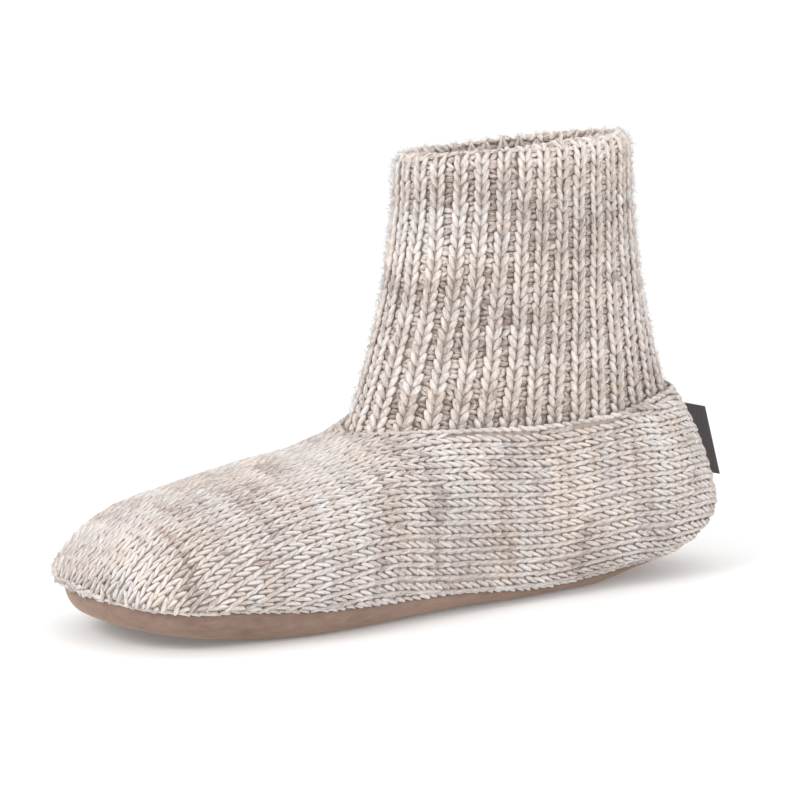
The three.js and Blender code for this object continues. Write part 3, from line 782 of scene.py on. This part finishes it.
def knitted_shaft():
    """The raised columns of V stitches, outside and inside, and the fibres that stand off them"""
    *stitches, row, rib, inside, width = shaft_lines(np.arange(RIBS) / RIBS + 1e-9, 0)
    tone = marl_shaft[row, rib] + rng.normal(size=len(row)) * OWN_TONE
    stitches = [*stitches, tone, tint_shaft[row, rib]]
    for name, strand, part in (("outside", LEG, ~inside), ("inside", COARSE_LEG, inside)):
        shapes = np.tile(stitch_shapes(strand, (RIB_LEG, RIB_LEG), 1, **SHAFT_LEG), (part.sum(), 1, 1))
        shapes[:, :, 1] *= np.repeat(width[part], 2)[:, None]
        doubled = [np.repeat(values[part], 2, axis=0) for values in stitches]
        yield yarn_object("shaft_knit_" + name, strand, shapes, *doubled)
    picked = rng.choice(np.flatnonzero((~inside) | (row < row[inside].min() + 4)), SHAFT_HAIRS)
    yield hairs("shaft_fuzz", *(x[picked] for x in stitches))


# How much the purl bumps' tone is lowered: painted shade for the sunken valleys between the ribs
PURL_SUNK = 0.75
PURL_TILT = 0.3
PURL_PAINTED_SHADE = 0.9
PURL_PLAY = 0.3
PURL = {"tip": 0.0, "end": 0.001, "length": 5.6}


def purl_columns():
    """Bumps of the sunken columns between the ribs: two for each stitch, lying across and tilted by turns.
    Their tone is lowered by painted shade for the sunken valleys.
    """
    centre, along, across, out, row, rib, *_ = shaft_lines((np.arange(RIBS) + 0.5) / RIBS, PURL_SUNK)
    centre = np.concatenate([centre, centre + along * STITCH_HEIGHT / 2])
    along, across, out, row, rib = (np.concatenate([x, x]) for x in (along, across, out, row, rib))
    # Painted shade: the valleys' bumps are made darker than the ribs' yarn
    tone = marl_shaft[row, rib] - PURL_PAINTED_SHADE + rng.normal(size=len(row)) * PURL_PLAY
    tilt = np.repeat([PURL_TILT, -PURL_TILT], len(row) // 2) + rng.normal(size=len(row)) * PURL_PLAY
    tilt = tilt[:, None]
    lying = across * np.cos(tilt) + along * np.sin(tilt)
    upright = np.cross(out, lying)
    shapes = np.repeat(leg_shape(COARSE_LEG, PURL, 1, 1.25, 0.45)[None], len(row), axis=0)
    shapes[len(row) // 2 :] = leg_shape(COARSE_LEG, PURL, 1, 1.0, 0.2)
    tint = tint_shaft[row, rib]
    return yarn_object("shaft_knit_valleys", COARSE_LEG, shapes, centre, lying, upright, out, tone, tint)


# Sole, insole and label


def sole_curl(columns, wall, shares):
    flat = columns.reach - columns.tuck - columns.turn
    flat_y = columns.y + columns.back * flat * np.sin(columns.angle)
    depth = columns.edge - GAP - underside(flat_y)
    turn = math.pi / 2 * np.asarray(shares)[None]
    r = flat[:, None] + (columns.turn[:, None] - wall) * np.sin(turn)
    return columns.place(r, columns.edge[:, None] - GAP - (depth[:, None] - wall) * np.cos(turn))


def sole_flat(columns, wall, shares):
    flat = (columns.reach - columns.tuck - columns.turn)[:, None] * np.asarray(shares)[None]
    points = columns.place(flat, 0 * flat)
    points[..., 2] = underside(points[..., 1]) + wall
    return points


SOLE_LIP = 0.25


def suede_sole():
    out, back = np.linspace(0, 1, 6)[:-1], np.linspace(1, 0, 6)[1:]
    curl = np.linspace(0, 1, 12)

    def column(c):
        rim = (sole_curl(c, 0, [1.0]) + sole_curl(c, SOLE_WALL, [1.0])) / 2 + np.array([0, 0, SOLE_LIP])
        outer, inner = sole_curl(c, 0, curl), sole_curl(c, SOLE_WALL, curl[::-1])
        outer[:, -1, 2] -= SOLE_LIP
        inner[:, 0, 2] -= SOLE_LIP
        rows = [sole_flat(c, 0, out), outer, rim, inner, sole_flat(c, SOLE_WALL, back)]
        return np.concatenate(rows, axis=1)

    return ring_body("suede_sole", around(column), False)


INSOLE = {"edge": 3.4, "corner": 1.5, "crown": 4.9}


def padded_insole():
    wall, radius = SOLE_WALL + GAP, INSOLE["corner"]

    def column(c):
        flat = sole_flat(c, wall, [1.0])
        flat_reach = c.reach - c.tuck - c.turn
        depth = (c.edge - GAP - flat[:, 0, 2])[:, None]
        height = np.array([[0, 0.4, 1.0, 1.8, 2.7, INSOLE["edge"]]])
        below = np.clip(depth - height, 0, None) / depth
        reach = flat_reach[:, None] + (c.turn[:, None] - wall - GAP / 2) * np.sqrt(1 - below * below)
        edge = c.place(reach, flat[:, :1, 2] + height)
        rounded = np.linspace(0.25, 1, 4)[None] * math.pi / 2
        top = flat[:, :1, 2] + INSOLE["edge"] + radius * np.sin(rounded)
        corner = c.place(reach[:, -1:] - radius * (1 - np.cos(rounded)), top)
        share = np.linspace(1, 0, 9)[None, 1:]
        inwards = (reach[:, -1:] - radius) * share
        crown, near_edge = c.place(inwards, 0 * inwards), share**6
        middle = (underside(crown[..., 1]) + wall) * (1 - near_edge)
        crown[..., 2] = middle + flat[:, :1, 2] * near_edge + INSOLE["crown"]
        return np.concatenate([sole_flat(c, wall, np.linspace(0, 1, 5)[:-1]), edge, corner, crown], axis=1)

    return ring_body("padded_insole", around(column), False)


LABEL = {"bottom": 32.8, "top": 61.3, "bottom_reach": 152, "top_reach": 144, "slope": 0.24}


def heel_back(z):
    seam = Columns(HEEL["axis"], np.array([math.pi / 2]), HEEL, 1).rows(60)[0]
    return np.interp(z, seam[::-1, 2], seam[::-1, 1])


def back_label():
    """A woven ribbon folded back on itself, standing out from the back seam"""
    half, ribbon, steps = 0.35, 0.7, 10
    rings = []
    for share in np.linspace(0, 1, 25):
        z = LABEL["bottom"] + (LABEL["top"] - LABEL["bottom"]) * share
        reach = LABEL["bottom_reach"] + (LABEL["top_reach"] - LABEL["bottom_reach"]) * share
        start = heel_back(z) + 0.4
        for _ in range(6):
            start = heel_back(z + (reach - start) * LABEL["slope"]) + 0.4
        turn = math.pi * (np.linspace(0, 1, steps + 1) - 0.5)
        outer, inner = (
            np.stack([r * np.sin(turn), reach - half - ribbon + r * np.cos(turn)], -1)
            for r in (half + ribbon, half)
        )
        leaves = np.linspace(0, 1, 7)[:, None]
        left = np.array([-half - ribbon, start]) * (1 - leaves) + outer[0] * leaves
        right = outer[-1] * (1 - leaves) + np.array([half + ribbon, start]) * leaves
        back_right = np.array([half, start]) * (1 - leaves) + inner[-1] * leaves
        back_left = inner[0] * (1 - leaves) + np.array([-half, start]) * leaves
        outline = np.concatenate([left[:-1], outer, right[1:], back_right[:-1], inner[::-1], back_left[1:]])
        rings.append(np.column_stack([outline, z + (reach - outline[:, 1]) * LABEL["slope"]]))
    rings = np.array(rings)
    size = rings.shape[1]
    pairs = np.arange(len(rings) - 1)[:, None] * size
    low, after = pairs + np.arange(size)[None], pairs + (np.arange(size)[None] + 1) % size
    quads = [np.stack([low, low + size, after + size, after], axis=-1).reshape(-1, 4)]
    across = size // 2
    strip = np.arange(across - 1)
    other = (size - 1 - strip) % size
    cap = np.stack([strip, strip + 1, other - 1, other], axis=-1)
    quads += [cap, cap[:, ::-1] + (len(rings) - 1) * size]
    obj = mesh_object("back_label", rings.reshape(-1, 3), np.concatenate(quads))
    merge_points(obj, 0.001)
    return obj


# Materials


class Material:
    """Material with a Principled shader and short calls for its nodes"""

    def __init__(self, name, **sockets):
        self.material = bpy.data.materials.new(name)
        self.material.use_nodes = True
        self.tree = self.material.node_tree
        self.shader = self.tree.nodes["Principled BSDF"]
        for socket, value in sockets.items():
            self.shader.inputs[socket.replace("_", " ")].default_value = value

    def node(self, kind, inputs=(), **settings):
        node = self.tree.nodes.new("ShaderNode" + kind)
        for name, value in settings.items():
            setattr(node, name, value)
        for key, value in dict(inputs).items():
            if isinstance(value, bpy.types.NodeSocket):
                self.tree.links.new(value, node.inputs[key])
            else:
                node.inputs[key].default_value = value
        return node

    def math(self, operation, a, b=0.0, clamp=False):
        return self.node("Math", {0: a, 1: b}, operation=operation, use_clamp=clamp).outputs[0]

    def scaled(self, value, factor, shift):
        return self.node("Math", {0: value, 1: factor, 2: shift}, operation="MULTIPLY_ADD").outputs[0]

    def mix(self, factor, a, b, blend="MIX"):
        node = self.node("Mix", data_type="RGBA", blend_type=blend)
        for socket, value in ((node.inputs[0], factor), (node.inputs[6], a), (node.inputs[7], b)):
            if isinstance(value, bpy.types.NodeSocket):
                self.tree.links.new(value, socket)
            else:
                socket.default_value = value
        return node.outputs[2]

    def ramp(self, factor, stops):
        node = self.node("ValToRGB", {0: factor})
        elements = node.color_ramp.elements
        while len(elements) < len(stops):
            elements.new(0.5)
        for element, (place, value) in zip(elements, stops):
            element.position, element.color = place, value
        return node.outputs[0]

    def noise(self, vector, scale, detail=2.0, roughness=0.5):
        inputs = {"Vector": vector, "Scale": scale, "Detail": detail, "Roughness": roughness}
        return self.node("TexNoise", inputs).outputs["Fac"]

    def mapped(self, vector, scale, turn=0.0):
        inputs = {"Vector": vector, "Rotation": (0, 0, turn), "Scale": scale}
        return self.node("Mapping", inputs).outputs[0]

    def wave(self, vector, way, scale, distortion, detail=2.0):
        inputs = {"Vector": vector, "Scale": scale, "Distortion": distortion, "Detail": detail}
        return self.node("TexWave", inputs, bands_direction=way).outputs["Fac"]

    def bump(self, height, strength, distance, normal=None):
        inputs = {"Height": height, "Strength": strength, "Distance": distance}
        if normal is not None:
            inputs["Normal"] = normal
        return self.node("Bump", inputs).outputs[0]

    def link(self, output, socket):
        self.tree.links.new(output, self.shader.inputs[socket])


def srgb(r, g, b):
    """Linear colour from 8-bit display values"""
    shown = (r / 255, g / 255, b / 255)
    return (*(c / 12.92 if c <= 0.04045 else ((c + 0.055) / 1.055) ** 2.4 for c in shown), 1.0)


def yarn_material(name, light, middle, dark, shade):
    """Two-ply marled wool: flecks follow the twist of each yarn, and each stitch has its own tone"""
    m = Material(name, Roughness=0.92, Sheen_Weight=0.35, Sheen_Roughness=0.5, Specular_IOR_Level=0.1,
                 Subsurface_Weight=0.35, Subsurface_Radius=(1.0, 0.9, 0.8), Subsurface_Scale=1.2 * MM)
    yarn = m.node("Attribute", attribute_name="yarn").outputs["Vector"]
    tone = m.node("Attribute", attribute_name="tone").outputs["Vector"]
    tone = m.node("SeparateXYZ", {0: tone})
    twist = m.mapped(yarn, (0.4, 1.7, 1.0), 0.55)
    fibres = m.noise(twist, 1.1, 3.0, 0.6)
    strands = m.noise(twist, 4.2, 2.0, 0.65)
    value = m.math("ADD", m.scaled(tone.outputs["X"], 0.34, shade), m.scaled(fibres, 1.9, -0.95))
    value = m.math("ADD", value, m.scaled(strands, 1.5, -0.75), clamp=True)
    colour = m.ramp(value, [(0.0, dark), (0.45, middle), (1.0, light)])
    tinted = m.mix(m.scaled(tone.outputs["Y"], 0.5, 0.5), (1.05, 0.985, 0.945, 1), (0.965, 0.985, 1.03, 1))
    m.link(m.mix(1.0, colour, tinted, "MULTIPLY"), "Base Color")
    ridges = m.wave(m.mapped(yarn, (1.0, 1.0, 0.0), 0.62), "Y", 0.22, 0.6, 1.0)
    normal = m.bump(ridges, 0.35, 0.35 * MM)
    m.link(m.bump(strands, 0.8, 0.35 * MM, normal), "Normal")
    return m.material


def cloth_material(name, light, dark):
    m = Material(name, Roughness=0.95, Sheen_Weight=0.25, Sheen_Roughness=0.5, Specular_IOR_Level=0.1)
    place = m.node("TexCoord").outputs["Object"]
    mottle = m.noise(place, 700.0, 3.0, 0.6)
    loops = m.node("TexVoronoi", {"Vector": place, "Scale": 420.0}).outputs["Distance"]
    m.link(m.mix(mottle, dark, light), "Base Color")
    m.link(m.bump(loops, 0.6, 0.6 * MM), "Normal")
    return m.material


def suede_material(name):
    m = Material(name, Roughness=0.88, Sheen_Weight=0.5, Sheen_Roughness=0.45, Specular_IOR_Level=0.2,
                 Sheen_Tint=srgb(214, 190, 172))
    place = m.node("TexCoord").outputs["Object"]
    clouds = m.noise(place, 38.0, 3.0, 0.55)
    brushed = m.noise(m.mapped(place, (1.0, 0.35, 1.0)), 420.0, 3.0, 0.6)
    nap = m.noise(place, 2600.0, 2.0, 0.6)
    worn = m.ramp(clouds, [(0.3, (0, 0, 0, 1)), (0.72, (1, 1, 1, 1))])
    strokes = m.ramp(brushed, [(0.35, (0, 0, 0, 1)), (0.7, (0.4, 0.4, 0.4, 1))])
    colour = m.mix(worn, srgb(122, 101, 89), srgb(144, 121, 107))
    colour = m.mix(strokes, colour, srgb(171, 149, 135))
    m.link(m.mix(m.math("MULTIPLY", nap, 0.35), colour, srgb(116, 94, 84)), "Base Color")
    m.link(m.bump(nap, 0.35, 0.12 * MM, m.bump(brushed, 0.25, 0.3 * MM)), "Normal")
    return m.material


def label_material(name):
    m = Material(name, Roughness=0.62, Sheen_Weight=0.2, Specular_IOR_Level=0.35)
    place = m.node("TexCoord").outputs["Object"]
    weave = m.math("MULTIPLY", m.wave(place, "Z", 620.0, 0.3), m.wave(place, "Y", 480.0, 0.3))
    m.link(m.mix(weave, srgb(46, 40, 42), srgb(82, 74, 76)), "Base Color")
    m.link(m.bump(weave, 0.6, 0.25 * MM), "Normal")
    return m.material


foot_yarn = yarn_material("foot_yarn", srgb(233, 227, 221), srgb(206, 195, 187), srgb(144, 130, 121), 0.62)
rib_yarn = yarn_material("rib_yarn", srgb(237, 231, 225), srgb(211, 200, 191), srgb(145, 130, 121), 0.65)
foot_cloth = cloth_material("foot_cloth", srgb(222, 211, 203), srgb(186, 172, 163))
# The shaft's lining is darker than the foot's: painted shade for the valleys between the ribs, where it
# shows; its mottle is the cloth's own
rib_cloth_painted_shade = cloth_material("rib_cloth_painted_shade", srgb(208, 196, 187), srgb(166, 151, 142))
felt = cloth_material("felt", srgb(226, 216, 204), srgb(204, 192, 178))
suede = suede_material("suede")
ribbon = label_material("woven_ribbon")


# Putting it together


def dress(obj, material, slot):
    obj.data.materials.clear()
    obj.data.materials.append(material)
    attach(obj, "root")
    return obj


for made, node, slot, yarn, cloth in (
    ([foot_lining(), *knitted_foot()], "upper", "foot_knit", foot_yarn, foot_cloth),
    ([shaft_lining(), *knitted_shaft(), purl_columns()], "shaft", "rib_knit", rib_yarn, rib_cloth_painted_shade),
):
    for piece in made:
        dress(piece, cloth if piece.name.endswith("lining") else yarn, slot)
        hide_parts(node)

sole = dress(suede_sole(), suede, "suede")
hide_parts("outsole")
insole = dress(padded_insole(), felt, "insole_felt")
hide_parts("insole")
tab = dress(back_label(), ribbon, "woven_label")
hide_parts("label")


# Studio


def floor():
    bpy.ops.mesh.primitive_plane_add(size=12, location=(0, 0, 0))
    obj = bpy.context.object
    obj.name = "studio_floor"
    m = Material("studio_floor", Base_Color=(0.84, 0.84, 0.84, 1), Roughness=0.8, Specular_IOR_Level=0.1,
                 Emission_Color=(1, 1, 1, 1), Emission_Strength=0.12)
    obj.data.materials.append(m.material)


def area_light(name, place, size, power, target=(0, 0, 0.07)):
    data = bpy.data.lights.new(name, "AREA")
    data.shape, data.size, data.energy = "DISK", size, power
    light = bpy.data.objects.new(name, data)
    light.location = place
    light.rotation_euler = (Vector(target) - Vector(place)).to_track_quat("-Z", "Y").to_euler()
    bpy.context.scene.collection.objects.link(light)


def studio():
    floor()
    world = bpy.data.worlds.new("studio")
    bpy.context.scene.world = world
    world.use_nodes = True
    world.node_tree.nodes["Background"].inputs["Color"].default_value = (1.0, 1.0, 1.0, 1)
    world.node_tree.nodes["Background"].inputs["Strength"].default_value = 1.06
    area_light("key", (0.4, -1.45, 1.1), size=0.9, power=13.5)
    area_light("fill", (1.6, 0.45, 0.7), size=1.2, power=5.5)
    bpy.context.scene.view_settings.view_transform = "Standard"


TARGET = np.array([0.0, 0.0, 90.0])
AZIMUTH, ELEVATION, DISTANCE = math.radians(57.416), math.radians(9.137), 1384.1
FOCAL_PIXELS = 2.63573 * DISTANCE
FRAME_PIXELS = 800
TARGET_PIXEL = (402.53, 366.1)


def camera():
    back = np.array([
        math.sin(AZIMUTH) * math.cos(ELEVATION),
        -math.cos(AZIMUTH) * math.cos(ELEVATION),
        math.sin(ELEVATION),
    ])
    data = bpy.data.cameras.new("camera")
    data.sensor_width = 36
    data.lens = FOCAL_PIXELS / FRAME_PIXELS * data.sensor_width
    data.shift_x = (FRAME_PIXELS / 2 - TARGET_PIXEL[0]) / FRAME_PIXELS
    data.shift_y = (TARGET_PIXEL[1] - FRAME_PIXELS / 2) / FRAME_PIXELS
    data.clip_start, data.clip_end = 0.05, 20
    cam = bpy.data.objects.new("camera", data)
    cam.location = Vector((TARGET + ORIGIN + back * DISTANCE) * MM)
    cam.rotation_mode = "QUATERNION"
    cam.rotation_quaternion = Vector(-back).to_track_quat("-Z", "Y")
    bpy.context.scene.collection.objects.link(cam)
    bpy.context.scene.camera = cam


studio()
camera()
